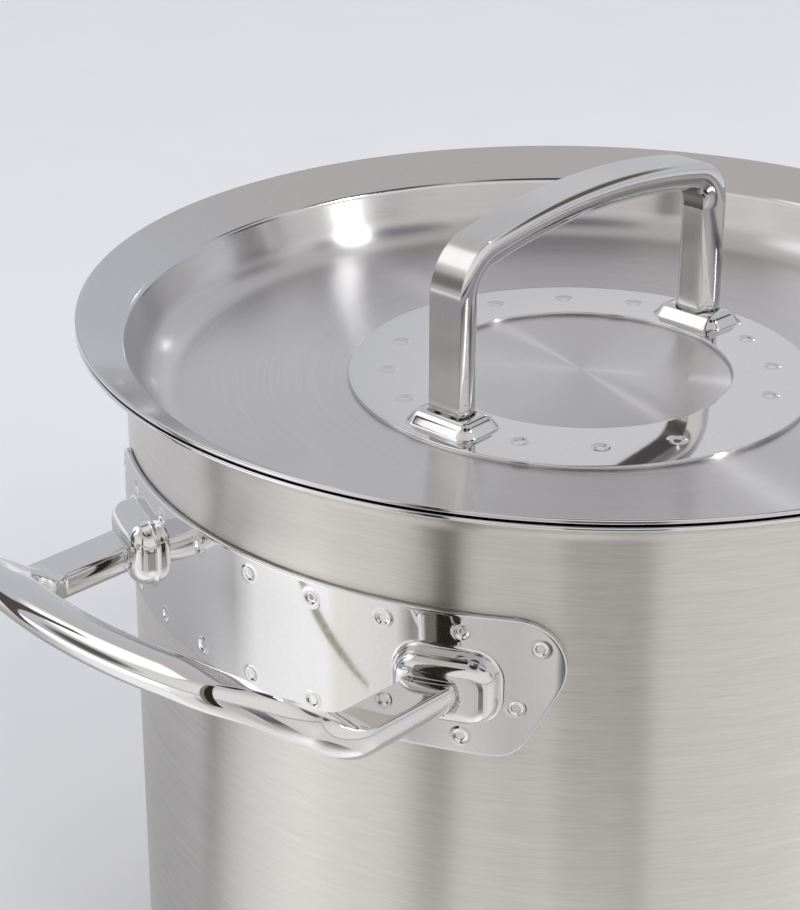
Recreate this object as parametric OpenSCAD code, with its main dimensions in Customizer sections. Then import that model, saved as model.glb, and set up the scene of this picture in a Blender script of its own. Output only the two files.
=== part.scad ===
// Stainless steel stew pot with a flat-lipped lid that rests in its flared rim.
// Origin at the centre of the underside, +Z up, side handles along the X axis. Millimetres.

/* [Pot body] */
// Inside diameter of the pot
pot_d = 240; // [200:1:300]
// Height of the rim above the table
pot_h = 210; // [160:1:260]
// Thickness of the body sheet
pot_wall = 1; // [0.7:0.1:1.6]
// Inside radius of the bend between wall and floor
pot_foot_r = 12; // [6:1:20]
// Inside radius of the bend between wall and rim
pot_neck_r = 5.5; // [3:0.5:8]
// How far the rim flares out past the inside of the wall
rim_reach = 13.5; // [10:0.5:18]
// Slope of the seat that carries the lid, from level
seat_deg = 30.3; // [20:0.1:40]
// Distance from the inside of the wall to the outer end of that seat
seat_reach = 6; // [5:0.5:8]
// Gap between the two lips at their outer edge
lip_gap = 0.6; // [0.3:0.1:1.2]

/* [Base] */
// Diameter of the base cap
base_d = 216; // [150:1:260]
// Thickness of the aluminium disc
core_t = 4.7; // [3:0.1:8]
// Thickness of the base cap sheet
cap_t = 0.8; // [0.5:0.1:1.2]
// Outside radius of the base cap's lower edge
cap_edge_r = 3; // [2:0.5:4]

/* [Lid] */
// Thickness of the lid sheet
lid_t = 1.2; // [0.8:0.1:1.8]
// Depth of the lid floor below the lid's outer edge
lid_depth = 22.4; // [17:0.1:28]
// Slope of the lid wall, from upright
lid_taper_deg = 12; // [4:1:20]
// Gap between the lid wall and the pot wall at the neck
lid_play = 0.3; // [0.1:0.1:1]
// Gap between the lid's flange and its seat, where the two sheets lie on each other
seat_gap = 0.05; // [0.02:0.01:0.3]
// Bend radius under the lid's neck
lid_neck_r = 4.5; // [2:0.5:5]
// Bend radius above the edge of the lid floor
lid_foot_r = 7; // [3:0.5:10]
// Radius where the lid floor begins to rise
crown_r = 76; // [66:1:90]
// Rise of the lid floor at its centre
crown_h = 1.7; // [0.5:0.1:4]

/* [Lid ring] */
// Inner diameter of the ring
ring_in_d = 80.6; // [60:0.2:84]
// Outer diameter of the ring
ring_out_d = 124.8; // [118:0.2:140]
// Thickness of the ring sheet
ring_t = 1.1; // [0.8:0.1:1.6]
// Spot welds in each quarter of the ring
ring_welds = 3; // [2:1:4]
// Length of a ring boss, across the handle
ring_boss_l = 21; // [18:0.5:26]
// Width of a ring boss, along the handle
ring_boss_w = 13.6; // [12:0.2:15]
// Height of a ring boss above the ring
ring_boss_h = 3.6; // [2:0.1:6]

/* [Handle bar] */
// Diameter of the round bar that the handles are pressed from
bar_d = 12; // [10:0.5:13]
// Height of its outer flat above the bar's centre
bar_top = 3; // [2:0.1:4]
// Depth of its inner flat below the bar's centre
bar_bottom = 5; // [4:0.1:5.6]

/* [Lid handle] */
// Span over the outer flats of the legs
grip_span = 109; // [100:1:115]
// Height of the grip's top above the lid's outer edge
grip_rise = 32.6; // [26:0.2:45]
// Outside radius of the bends
grip_bend_r = 14.8; // [11:0.2:20]
// Outside radius of the shallow arch
grip_arch_r = 210; // [150:5:400]

/* [Handle plates] */
// Thickness of the plate sheet
plate_t = 1.2; // [0.8:0.1:2]
// Stand-off between plate and body, bridged by the spot welds
plate_gap = 0.3; // [0.1:0.1:0.6]
// Distance from the rim down to the plate's top edge
plate_drop = 30; // [24:0.5:60]
// Height of the plate
plate_h = 36.3; // [32:0.1:45]
// Half length of the top edge, measured to its sharp corner
plate_top_half = 90.2; // [84:0.2:98]
// Half length of the bottom edge, measured to its sharp corner
plate_bottom_half = 71; // [68:0.2:84]
// Corner radius at the top
plate_top_r = 12; // [4:0.5:14]
// Corner radius at the bottom
plate_bottom_r = 10; // [4:0.5:12]
// Distance between neighbouring spot welds of a row, along the plate
weld_pitch = 19.3; // [17:0.1:20]
// Spot welds in a row
row_welds = 7; // [3:2:7]
// Distance from a row of welds to the plate's edge
weld_inset = 4.5; // [4:0.1:6]
// Length of a plate boss along the plate
boss_l = 25.6; // [23:0.2:28]
// Height of a plate boss
boss_w = 18; // [16:0.2:20]
// How far a plate boss stands out from the plate
boss_h = 6; // [4:0.5:9]
// Sheet left between a boss and its hollow
boss_wall = 1.2; // [0.8:0.1:1.6]

/* [Spot welds] */
// Diameter of the raised lip round a spot weld
weld_d = 4.8; // [4:0.1:6]
// Diameter of the dimple
dimple_d = 3.6; // [2.5:0.1:4]
// Depth of the dimple
dimple_depth = 0.5; // [0.3:0.1:0.6]
// Height of the lip
weld_lip = 0.2; // [0.1:0.05:0.4]

/* [Side handles] */
// Distance between the centres of the two legs
leg_spacing = 106; // [98:1:110]
// Distance between the centres of the two raised arms
arm_spacing = 96; // [90:1:98]
// Length of the level leg, from the body wall
leg_l = 30.6; // [20:0.5:50]
// Distance from the plate's top edge down to the legs' centre
leg_drop = 18.2; // [16:0.1:20]
// Length of the bar's run from the end of the level leg to the middle of the crossbar
arm_run = 36.8; // [33:0.2:50]
// Steepest slope of the arm
rise_deg = 36; // [15:1:50]
// Radius of the bend that turns the arm up
lower_bend_r = 15; // [12:0.5:25]
// Length of the straight slope
slope_l = 15; // [5:0.5:25]
// Radius of the bend that levels it again
upper_bend_r = 20; // [12:0.5:30]
// Slope that is left at the crossbar
grip_deg = 6; // [0:1:15]
// Corner radius between arm and crossbar
corner_r = 24; // [14:0.5:26]
// Radius of the crossbar's gentle outward curve
crossbar_r = 140; // [100:5:300]
// Width of the crossbar's oval section
oval_w = 11.4; // [10:0.2:14]
// Height of the crossbar's oval section
oval_h = 9.8; // [8:0.2:12]

/* [Hidden] */

$fn = 128;
arc_step = 10;          // degrees between the points of a drawn arc
weld_gap = 0.05;        // seam between parts that are welded flat to each other
slot_play = 0.15;       // gap round a handle leg in its boss
core_play = 0.1;        // gap between the aluminium disc and the cap's upstand
through = 1;            // extra length of a cut past the face that it goes through

SATIN = [0.70, 0.69, 0.68];
POLISHED = [0.82, 0.82, 0.83];
ALUMINIUM = [0.72, 0.73, 0.74];

pot_r = pot_d / 2;
body_r = pot_r + pot_wall;
rim_r = pot_r + rim_reach;
under_floor = cap_t + core_t;
floor_z = under_floor + pot_wall;

// Height of the seat's slope at radius r, and of the underside of the flange that lies on it
function seat_z(r) = pot_h + lip_gap - seat_gap - (rim_r - r) * tan(seat_deg);
function flange_z(r) = seat_z(r) + seat_gap;

lid_top = flange_z(rim_r) + lid_t / cos(seat_deg);
lid_floor_z = lid_top - lid_depth;

// Height of the lid floor's upper face at radius r
function crown_z(r) = lid_floor_z + crown_h * (1 - pow(min(r, crown_r) / crown_r, 2));

// Sheet metal. One face of a sheet is a list of [x, y, bend radius]. The other face is the same
// list moved sideways by the thickness, so both faces bend about the same centres.

function unit(v) = v / norm(v);
function left(v) = [-v.y, v.x];
function flat(p) = [p.x, p.y];
function way(path, i) = unit(flat(path[i + 1]) - flat(path[i]));
function flatten(lists) = [for (l = lists) for (p = l) p];

// An end of a moved face keeps its x, so the sheet is cut square to the x axis there
function moved_end(p, dir, t) =
    let (q = flat(p) + t * left(dir))
    concat(q + dir * (p.x - q.x) / dir.x, 0);

function moved_bend(path, i, t) =
    let (a = left(way(path, i - 1)), b = left(way(path, i)),
         side = sign(cross(way(path, i - 1), way(path, i))))
    concat(flat(path[i]) + t * (a + b) / (1 + a * b), max(path[i].z - side * t, 0));

function moved(path, t) =
    let (last = len(path) - 1)
    [for (i = [0 : last])
        i == 0 ? moved_end(path[0], way(path, 0), t) :
        i == last ? moved_end(path[last], way(path, last - 1), t) :
        moved_bend(path, i, t)];

// The points of one bend
function bend(path, i) =
    let (a = way(path, i - 1), b = way(path, i), r = path[i].z, p = flat(path[i]),
         side = sign(cross(a, b)), turn = acos(max(-1, min(1, a * b))),
         start = p - a * r * tan(turn / 2), centre = start + side * r * left(a),
         steps = max(1, ceil(turn / arc_step)), from = atan2(-side * left(a).y, -side * left(a).x))
    r == 0 ? [p] :
    [for (k = [0 : steps]) centre + r * [cos(from + side * turn * k / steps),
                                         sin(from + side * turn * k / steps)]];

function rounded(path) =
    let (last = len(path) - 1)
    concat([flat(path[0])], flatten([for (i = [1 : 1 : last - 1]) bend(path, i)]),
           [flat(path[last])]);

function reversed(list) = [for (i = [len(list) - 1 : -1 : 0]) list[i]];

module sheet(path, t) {
    polygon(concat(rounded(path), reversed(rounded(moved(path, t)))));
}

// Lofts. A skin joins rings that have the same number of points. Each end is closed by a fan
// about the middle of its ring.

function middle(ring) = [for (p = ring) 1] * ring / len(ring);

module skin(rings) {
    n = len(rings[0]);
    last = len(rings) - 1;
    sides = [for (k = [0 : last - 1]) for (i = [0 : n - 1])
        let (j = (i + 1) % n, a = k * n + i, b = k * n + j)
        each [[a, a + n, b], [b, a + n, b + n]]];
    ends = [for (i = [0 : n - 1])
        let (j = (i + 1) % n)
        each [[i, j, n * (last + 1)], [n * last + j, n * last + i, n * (last + 1) + 1]]];
    polyhedron(points = concat(flatten(rings), [middle(rings[0]), middle(rings[last])]),
               faces = concat(sides, ends));
}

// A rounded rectangle, as points
function pillow(w, h, r) = flatten([for (q = [0 : 3])
    let (sx = q == 0 || q == 3 ? 1 : -1, sy = q < 2 ? 1 : -1)
    [for (k = [0 : 6])
        [sx * (w / 2 - r) + r * cos(90 * q + 15 * k), sy * (h / 2 - r) + r * sin(90 * q + 15 * k)]]]);

// Rings of a pressed boss: upright at its foot, rounded over to a flat top.
// They start at height low, and each point is [along, up, height].
function mound(l, w, h, low, inset = 0) =
    let (round_in = 0.27 * min(l, w), foot_r = 0.38 * min(l, w), top = h - inset)
    [for (k = [-1 : 5])
        let (q = 18 * max(k, 0), trim = inset + round_in * (1 - cos(q)))
        [for (p = pillow(l - 2 * trim, w - 2 * trim, max(foot_r - trim, 0.8)))
            [p.x, p.y, k < 0 ? low : max(0, top - round_in) + min(top, round_in) * sin(q)]]];

// Wraps [along, up, height] round the plate's outer face, about the azimuth az
function wrapped(rings, r, az, z) = [for (ring = rings) [for (p = ring)
    let (a = az + p.x / r * 180 / PI)
    [(r + p.z) * cos(a), (r + p.z) * sin(a), z + p.y]]];

// The bar's section: across, and outward
module bar_section(grow = 0) {
    intersection() {
        circle(d = bar_d + 2 * grow);
        translate([-bar_d, -bar_bottom - grow])
            square([2 * bar_d, bar_bottom + bar_top + 2 * grow]);
    }
}

// The section's points, as angles on the bar's circle. Both flats end at a point of the list.
top_edge = asin(bar_top / (bar_d / 2));
bottom_edge = asin(bar_bottom / (bar_d / 2));
flank = [for (k = [0 : 6]) -bottom_edge + (bottom_edge + top_edge) * k / 6];
section_angles = concat(flank, [for (k = [1 : 4]) top_edge + (180 - 2 * top_edge) * k / 5],
                        reversed([for (a = flank) 180 - a]),
                        [for (k = [1 : 3]) 180 + bottom_edge + (180 - 2 * bottom_edge) * k / 4]);

// A point of the section, which turns from the flatted round into an oval as share goes to 1
function section_point(a, share) =
    (1 - share) * [bar_d / 2 * cos(a), max(-bar_bottom, min(bar_top, bar_d / 2 * sin(a)))]
    + share * [oval_w / 2 * cos(a), oval_h / 2 * sin(a)];

// Pot

// Inner face of the body, from the centre of the floor to the lip
pot_face = [
    [0, floor_z, 0],
    [pot_r, floor_z, pot_foot_r],
    [pot_r, seat_z(pot_r), pot_neck_r],
    [pot_r + seat_reach, seat_z(pot_r + seat_reach), 0],
    [rim_r, pot_h, 0]];

module pot_body() {
    color(SATIN) rotate_extrude() sheet(pot_face, -pot_wall);
}

// Base. The tray's outline is the cap's face moved in by t, filled up to the height top
cap_r = base_d / 2;

module tray(t, top) {
    polygon(concat(
        [[0, t]],
        bend([[0, t], [cap_r - t, t, cap_edge_r - t], [cap_r - t, top]], 1),
        [[cap_r - t, top], [0, top]]));
}

module base_cap() {
    color(SATIN) rotate_extrude() difference() {
        tray(0, under_floor);
        tray(cap_t, under_floor + through);
    }
}

module base_core() {
    color(ALUMINIUM) rotate_extrude() intersection() {
        tray(cap_t, under_floor);
        square([cap_r - cap_t - core_play, under_floor]);
    }
}

// Lid

// Lower face of the lid: the crowned middle, then the wall and the flange
lid_neck = pot_r - lid_play;
lid_foot = lid_neck - (flange_z(lid_neck) - lid_floor_z + lid_t) * tan(lid_taper_deg);
crown_steps = 8;
lid_face = concat(
    [for (k = [0 : crown_steps])
        let (r = crown_r * k / crown_steps) [r, crown_z(r) - lid_t, 0]],
    [[lid_foot, lid_floor_z - lid_t, lid_foot_r + lid_t],
     [lid_neck, flange_z(lid_neck), lid_neck_r],
     [rim_r, flange_z(rim_r), 0]]);

module lid() {
    color(POLISHED) rotate_extrude() sheet(lid_face, lid_t);
}

// Welds

// A spot weld's lip, standing up from z = 0
module weld_pad(depth) {
    translate([0, 0, -depth]) cylinder(d = weld_d, h = depth + weld_lip);
}

// Its dimple, cut from above
module weld_dimple() {
    translate([0, 0, -dimple_depth])
        cylinder(d = dimple_d, h = dimple_depth + weld_lip + through);
}

// Lid ring

ring_in = ring_in_d / 2;
ring_out = ring_out_d / 2;
ring_weld_r = (ring_in + ring_out) / 2;
ring_steps = 4;
ring_radii = [for (k = [0 : ring_steps]) ring_in + (ring_out - ring_in) * k / ring_steps];
leg_x = grip_span / 2 - bar_top;
ring_boss_x = leg_x + (bar_top - bar_bottom) / 2 + 0.6;
ring_boss_z = crown_z(ring_boss_x) + weld_gap + ring_t;

// Puts its children at each spot weld of the ring
module at_ring_welds() {
    for (quarter = [0 : 3])
        for (k = [1 : ring_welds])
            rotate(90 * (quarter + k / (ring_welds + 1)))
                translate([ring_weld_r, 0, crown_z(ring_weld_r) + weld_gap + ring_t])
                    children();
}

function ring_mound(inset, low) = [for (ring = mound(ring_boss_w, ring_boss_l, ring_boss_h, low, inset))
    [for (p = ring) [ring_boss_x + p.x, p.y, ring_boss_z + p.z]]];

module lid_ring() {
    color(POLISHED) difference() {
        union() {
            rotate_extrude() polygon(concat(
                [for (r = ring_radii) [r, crown_z(r) + weld_gap]],
                reversed([for (r = ring_radii) [r, crown_z(r) + weld_gap + ring_t]])));
            at_ring_welds() weld_pad(ring_t / 2);
            for (side = [0, 1]) mirror([side, 0, 0]) skin(ring_mound(0, -ring_t / 2));
        }
        at_ring_welds() weld_dimple();
        for (side = [0, 1]) mirror([side, 0, 0]) {
            skin(ring_mound(ring_t, -ring_t - through));
            translate([leg_x, 0, ring_boss_z]) linear_extrude(ring_boss_h + through)
                rotate(-90) bar_section(slot_play);
        }
    }
}

// Lid handle

grip_top = lid_top + grip_rise;
bend_r = grip_bend_r - bar_top;
arch_r = grip_arch_r - bar_top;
arch_z = grip_top - grip_arch_r;
bend_x = leg_x - bend_r;
bend_z = arch_z + sqrt(pow(arch_r - bend_r, 2) - pow(bend_x, 2));
arch_half = asin(bend_x / (arch_r - bend_r));
leg_foot_z = crown_z(leg_x - bar_bottom) + weld_gap;

// Stations of the bar's centre over half the loop: [x, z, angle of the outward side from +X]
bend_steps = 9;
arch_steps = 5;
half_loop = concat(
    [[leg_x, leg_foot_z, 0]],
    [for (k = [0 : bend_steps]) let (a = (90 - arch_half) * k / bend_steps)
        [bend_x + bend_r * cos(a), bend_z + bend_r * sin(a), a]],
    [for (k = [1 : arch_steps]) let (a = 90 - arch_half * (1 - k / arch_steps))
        [arch_r * cos(a), arch_z + arch_r * sin(a), a]]);
loop = concat(half_loop, [for (i = [len(half_loop) - 2 : -1 : 0])
    [-half_loop[i][0], half_loop[i][1], 180 - half_loop[i][2]]]);

module lid_handle() {
    color(POLISHED) skin([for (q = loop) [for (a = section_angles)
        let (c = section_point(a, 0))
        [q[0] + c.y * cos(q[2]), -c.x, q[1] + c.y * sin(q[2])]]]);
}

// Handle plates, drawn for the side towards +X

plate_in = body_r + plate_gap;
plate_out = plate_in + plate_t;
plate_top = pot_h - plate_drop;
plate_low = plate_top - plate_h;
leg_z = plate_top - leg_drop;
leg_s = leg_spacing / 2;
boss_az = asin(leg_s / body_r) - 0.5;

// Turns a distance along the plate into degrees round the pot
function az_of(s) = s / plate_out * 180 / PI;

// Half length of the plate at height z, along its slanting end
function plate_half(z) =
    plate_bottom_half + (plate_top_half - plate_bottom_half) * (z - plate_low) / plate_h;

plate_corner = [
    [0, plate_low, 0],
    [plate_bottom_half, plate_low, plate_bottom_r],
    [plate_top_half, plate_top, plate_top_r],
    [0, plate_top, 0]];
plate_edge = [for (p = rounded(plate_corner)) [plate_out * sin(az_of(p.x)), p.y]];

// The two end welds on each side: [distance below the top edge, distance in from the slanting end]
end_welds = [[6.9, 10.5], [22.8, 7.3]];
row_ends = (row_welds - 1) / 2;
plate_welds = concat(
    [for (k = [-row_ends : row_ends]) each
        [[k * weld_pitch, plate_top - weld_inset], [k * weld_pitch, plate_low + weld_inset]]],
    [for (side = [-1, 1]) for (w = end_welds)
        [side * (plate_half(plate_top - w[0]) - w[1]), plate_top - w[0]]]);

// Puts its children at each spot weld of the plate, with z pointing out of the plate
module at_plate_welds() {
    for (w = plate_welds)
        rotate(az_of(w.x)) translate([plate_out, 0, w.y]) rotate([0, 90, 0]) children();
}

module plate_outline() {
    translate([pot_r / 2, 0, 0]) rotate([90, 0, 90]) linear_extrude(pot_r)
        polygon(concat(plate_edge, reversed([for (p = plate_edge) [-p.x, p.y]])));
}

module tube(r_in, r_out, low, high) {
    translate([0, 0, low]) difference() {
        cylinder(r = r_out, h = high - low);
        translate([0, 0, -through]) cylinder(r = r_in, h = high - low + 2 * through);
    }
}

module handle_plate() {
    color(POLISHED) difference() {
        union() {
            intersection() {
                tube(plate_in, plate_out, plate_low - through, plate_top + through);
                plate_outline();
            }
            at_plate_welds() weld_pad(plate_t + plate_gap + weld_lip);
            for (side = [-1, 1])
                skin(wrapped(mound(boss_l, boss_w, boss_h, -plate_t / 2), plate_out,
                             side * boss_az, leg_z));
        }
        at_plate_welds() weld_dimple();
        for (side = [-1, 1]) {
            skin(wrapped(mound(boss_l, boss_w, boss_h, -plate_t - through, boss_wall), plate_out,
                         side * boss_az, leg_z));
            translate([plate_out, side * leg_s, leg_z]) rotate([90, 0, 90])
                translate([0, 0, -boss_l / 2]) linear_extrude(boss_l) bar_section(slot_play);
        }
        translate([0, 0, plate_low - through]) cylinder(r = body_r, h = plate_h + 2 * through);
    }
}

// Side handles, drawn for the side towards +X. The bar follows an outline [p, s] on a rising
// strip: p runs outward along the strip from the end of the level leg, s runs along the pot.

leg_end = sqrt(pow(body_r, 2) - pow(leg_s, 2)) + leg_l;
lower_l = lower_bend_r * rise_deg * PI / 180;
upper_l = upper_bend_r * (rise_deg - grip_deg) * PI / 180;

// Slope of the strip at p
function slope_at(p) =
    p < 0 ? 0 :
    p < lower_l ? rise_deg * p / lower_l :
    p < lower_l + slope_l ? rise_deg :
    p < lower_l + slope_l + upper_l ?
        rise_deg + (grip_deg - rise_deg) * (p - lower_l - slope_l) / upper_l :
    grip_deg;

// The point [x, z] of the strip at p: the level leg, then an arc, a straight slope and an arc back
slope_start = [leg_end, leg_z] + lower_bend_r * [sin(rise_deg), 1 - cos(rise_deg)];
slope_end = slope_start + slope_l * [cos(rise_deg), sin(rise_deg)];
function upper_arc(a) = slope_end
    + upper_bend_r * [sin(rise_deg) - sin(a), cos(a) - cos(rise_deg)];
function strip_at(p) =
    let (a = slope_at(p), past = p - lower_l - slope_l - upper_l)
    p < 0 ? [leg_end + p, leg_z] :
    p < lower_l ? [leg_end, leg_z] + lower_bend_r * [sin(a), 1 - cos(a)] :
    p < lower_l + slope_l ? slope_start + (p - lower_l) * [cos(rise_deg), sin(rise_deg)] :
    past < 0 ? upper_arc(a) :
    upper_arc(grip_deg) + past * [cos(grip_deg), sin(grip_deg)];

// Half of the outline: leg, drawn-in arm, corner, and half of the crossbar
arm_s = arm_spacing / 2;
draw_in_l = 14;
corner_turn = asin((arm_s - corner_r) / (crossbar_r - corner_r));
corner_p = arm_run - crossbar_r + (crossbar_r - corner_r) * cos(corner_turn);
function drawn_in(p) = arm_s + (leg_s - arm_s) * (1 + cos(180 * min(1, max(0, p / draw_in_l)))) / 2;
half_outline = concat(
    [for (p = [-leg_l - bar_d, -leg_l / 3]) [p, leg_s]],
    [for (k = [0 : 5]) let (p = corner_p * k / 5) [p, drawn_in(p)]],
    [for (k = [1 : 7]) let (a = (90 - corner_turn) * k / 7, p = corner_p + corner_r * sin(a))
        [p, drawn_in(p) - corner_r * (1 - cos(a))]],
    [for (k = [1 : 7]) let (a = corner_turn * (1 - k / 7))
        [arm_run - crossbar_r + crossbar_r * cos(a), crossbar_r * sin(a)]]);
bar_outline = concat([for (q = half_outline) [q.x, -q.y]],
                     [for (i = [len(half_outline) - 2 : -1 : 0]) half_outline[i]]);

// Share of the oval in the section: none at the arm, all of it along the crossbar
oval_from = arm_s - 4;
oval_to = arm_s / 2;
function oval_share(s) = (1 - cos(180 * max(0, min(1, (oval_from - abs(s)) / (oval_from - oval_to))))) / 2;

function bar_ring(i) =
    let (n = len(bar_outline), q = bar_outline[i], a = slope_at(q.x),
         run = unit(bar_outline[min(i + 1, n - 1)] - bar_outline[max(i - 1, 0)]),
         place = strip_at(q.x), share = q.x > draw_in_l ? oval_share(q.y) : 0,
         across = [-run.y * cos(a), run.x, -run.y * sin(a)], up = [-sin(a), 0, cos(a)])
    [for (b = section_angles) let (c = section_point(b, share))
        [place.x, q.y, place.y] + c.x * across + c.y * up];

module side_handle() {
    color(POLISHED) difference() {
        skin([for (i = [0 : len(bar_outline) - 1]) bar_ring(i)]);
        translate([0, 0, plate_low]) cylinder(r = body_r, h = plate_h);
    }
}

pot_body();
base_core();
base_cap();
mirror([1, 0, 0]) handle_plate();  // handle_plate_left
handle_plate();  // handle_plate_right
mirror([1, 0, 0]) side_handle();  // side_handle_left
side_handle();  // side_handle_right
lid();
lid_ring();
lid_handle();
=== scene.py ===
# %% [markdown]
# A stainless steel stew pot stands on a pale floor with its lid on. Its body, lid, ring and
# plates are pressed from sheet, and its handles from round bar. Each piece is worked out here as
# a surface with the sizes of the measured model, so that it lies exactly where that model has it,
# with the rounded edges, fillets and weld marks that polished metal shows.

# %% Load the measured model
import math

import bpy
import numpy as np
from mathutils import Matrix


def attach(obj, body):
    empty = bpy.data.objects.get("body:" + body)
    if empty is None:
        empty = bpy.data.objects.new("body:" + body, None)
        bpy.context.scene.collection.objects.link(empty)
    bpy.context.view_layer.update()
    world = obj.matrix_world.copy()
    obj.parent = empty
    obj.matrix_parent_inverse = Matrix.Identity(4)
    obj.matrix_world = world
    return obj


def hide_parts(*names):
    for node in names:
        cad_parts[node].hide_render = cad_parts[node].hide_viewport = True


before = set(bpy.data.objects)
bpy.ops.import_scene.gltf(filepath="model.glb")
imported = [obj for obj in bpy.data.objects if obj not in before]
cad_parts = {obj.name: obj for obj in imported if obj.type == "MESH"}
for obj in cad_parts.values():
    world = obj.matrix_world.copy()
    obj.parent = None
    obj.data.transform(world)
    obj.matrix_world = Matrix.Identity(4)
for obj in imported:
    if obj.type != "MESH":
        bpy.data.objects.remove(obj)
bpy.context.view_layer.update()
print("measured pieces:", ", ".join(sorted(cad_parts)))

# %% [markdown]
# The camera stands at the left front of the pot and looks down on it. A long lens keeps the
# rim's ellipse calm. The three directions are the picture's right, its upper side, and back
# towards the photographer.

# %% Camera
camera = bpy.data.objects.new("camera", bpy.data.cameras.new("camera"))
bpy.context.scene.collection.objects.link(camera)
bpy.context.scene.camera = camera
camera.data.sensor_fit = "VERTICAL"
camera.data.sensor_height = 36.0
camera.data.lens = 97.05
camera.data.clip_start, camera.data.clip_end = 0.02, 30.0
camera_place = (-0.47463, -0.38089, 0.44365)
picture_right = (0.68677, -0.72687, 0.00286)
picture_up = (0.30092, 0.28789, 0.90916)
picture_back = (-0.66166, -0.62352, 0.41644)
turned = Matrix((picture_right, picture_up, picture_back)).transposed().to_4x4()
camera.matrix_world = Matrix.Translation(camera_place) @ turned
bpy.context.scene.view_settings.view_transform = "Standard"
print("camera height in metres:", round(camera.matrix_world.translation.z, 3))

# %% [markdown]
# Sheet metal is drawn as its cross section. One face of the sheet is a path with a bend radius
# at each corner. The other face is the same path moved sideways by the thickness, so both faces
# bend about the same centres, as they do in a press.

# %% Bent paths
def unit(v):
    return v / np.linalg.norm(v)


def left_of(v):
    return np.array([-v[1], v[0]])


def moved(path, t):
    """The path's other face: each straight run moved by t to its left. An inner corner lies where
    two moved runs cross, its bend radius changes by t, and an end point keeps its distance x."""
    path = np.asarray(path, float)
    runs = [unit(b[:2] - a[:2]) for a, b in zip(path, path[1:])]
    out = []
    for i, p in enumerate(path):
        if 0 < i < len(path) - 1:
            a, b = left_of(runs[i - 1]), left_of(runs[i])
            side = np.sign(runs[i - 1][0] * runs[i][1] - runs[i - 1][1] * runs[i][0])
            xy = p[:2] + t * (a + b) / (1 + a @ b)
            out.append([*xy, max(p[2] - side * t, 0)])
        else:
            run = runs[min(i, len(runs) - 1)]
            xy = p[:2] + t * left_of(run)
            out.append([*(xy + run * (p[0] - xy[0]) / run[0]), 0])
    return np.array(out)


def rounded(path, arc_deg=3.0):
    """Points of a path whose corners [x, y, r] are arcs of radius r that touch both straight runs.
    A guard point just before and after each arc keeps the flats flat in smooth shading."""
    path = np.asarray(path, float)
    points = [path[0, :2]]
    for before, corner, after in zip(path, path[1:], path[2:]):
        a, b, r = unit(corner[:2] - before[:2]), unit(after[:2] - corner[:2]), corner[2]
        side = np.sign(a[0] * b[1] - a[1] * b[0])
        turn = math.acos(min(1.0, max(-1.0, float(a @ b))))
        if r == 0 or turn < 1e-6:
            points.append(corner[:2])
            continue
        start = corner[:2] - a * r * math.tan(turn / 2)
        centre = start + side * r * left_of(a)
        first = math.atan2(-side * a[0], side * a[1])
        steps = max(4, math.ceil(math.degrees(turn) / arc_deg))
        angles = first + side * turn * np.arange(steps + 1) / steps
        arc = centre + r * np.stack([np.cos(angles), np.sin(angles)], 1)
        guard = min(0.3, 0.06 * r)
        points += [start - a * guard, *arc, arc[-1] + b * guard]
    points.append(path[-1, :2])
    return np.array(points)


def sheet_section(face, t, lip_r):
    """The whole section of a sheet: out along one face, round its lip, and back on the other."""
    face, other = np.asarray(face, float), moved(face, t)[::-1]
    face[-1, 2] = other[0, 2] = lip_r
    return rounded(np.concatenate([face, other]))


def lengths(points):
    """Running length along a line of points."""
    return np.concatenate([[0], np.cumsum(np.linalg.norm(np.diff(points, axis=0), axis=1))])


sample = rounded([[0, 0, 0], [9, 0, 5], [9, 9, 0]])
print("a right angle bend of radius 5 has", len(sample), "points and is",
      round(float(lengths(sample)[-1]), 2), "mm long")

# %% [markdown]
# A mesh is made from whole arrays of points and faces. Sizes are in millimetres up to here and
# become metres when they are put into the mesh. The enclosed volume tells whether the faces point
# outwards, and they are turned round where they don't.

# %% Meshes from arrays
def volume_of(points, faces):
    """Sum over all faces of the pyramids from the origin, each corner fan taken as triangles."""
    total = 0.0
    for f in faces:
        for k in range(1, f.shape[1] - 1):
            a, b, c = points[f[:, 0]], points[f[:, k]], points[f[:, k + 1]]
            total += np.einsum("ij,ij->i", a, np.cross(b, c)).sum() / 6
    return total


def piece(name, points, *faces, uv=None):
    """One object from points in millimetres and arrays of faces, each with its own corner count.
    uv gives each point a place on the metal, in metres, for finishes that follow the surface."""
    points = points.reshape(-1, 3)
    faces = [f.reshape(-1, f.shape[-1]) for f in faces]
    volume = volume_of(points, faces)
    if volume < 0:
        faces = [f[:, ::-1] for f in faces]
    mesh = bpy.data.meshes.new(name)
    mesh.vertices.add(len(points))
    mesh.vertices.foreach_set("co", (points / 1000).astype(np.float32).ravel())
    corners = np.concatenate([f.ravel() for f in faces])
    counts = np.concatenate([np.full(len(f), f.shape[1]) for f in faces])
    mesh.loops.add(len(corners))
    mesh.loops.foreach_set("vertex_index", corners.astype(np.int32))
    mesh.polygons.add(len(counts))
    mesh.polygons.foreach_set("loop_start", (np.cumsum(counts) - counts).astype(np.int32))
    mesh.update(calc_edges=True)
    mesh.shade_smooth()
    if uv is not None:
        layer = mesh.uv_layers.new(name="along")
        layer.uv.foreach_set("vector", uv[corners].astype(np.float32).ravel())
    obj = bpy.data.objects.new(name, mesh)
    bpy.context.scene.collection.objects.link(obj)
    triangles = int((counts - 2).sum())
    print(f"{name}: {triangles} triangles, {abs(volume) / 1000:.1f} cubic centimetres")
    return obj


pyramid = np.array([[0, 0, 0], [1, 0, 0], [0, 1, 0], [0, 0, 1.0]])
pyramid_faces = np.array([[0, 2, 1], [0, 3, 2], [0, 1, 3], [1, 2, 3]])
print("volume of a small pyramid:", round(float(volume_of(pyramid, [pyramid_faces])), 4))

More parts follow.
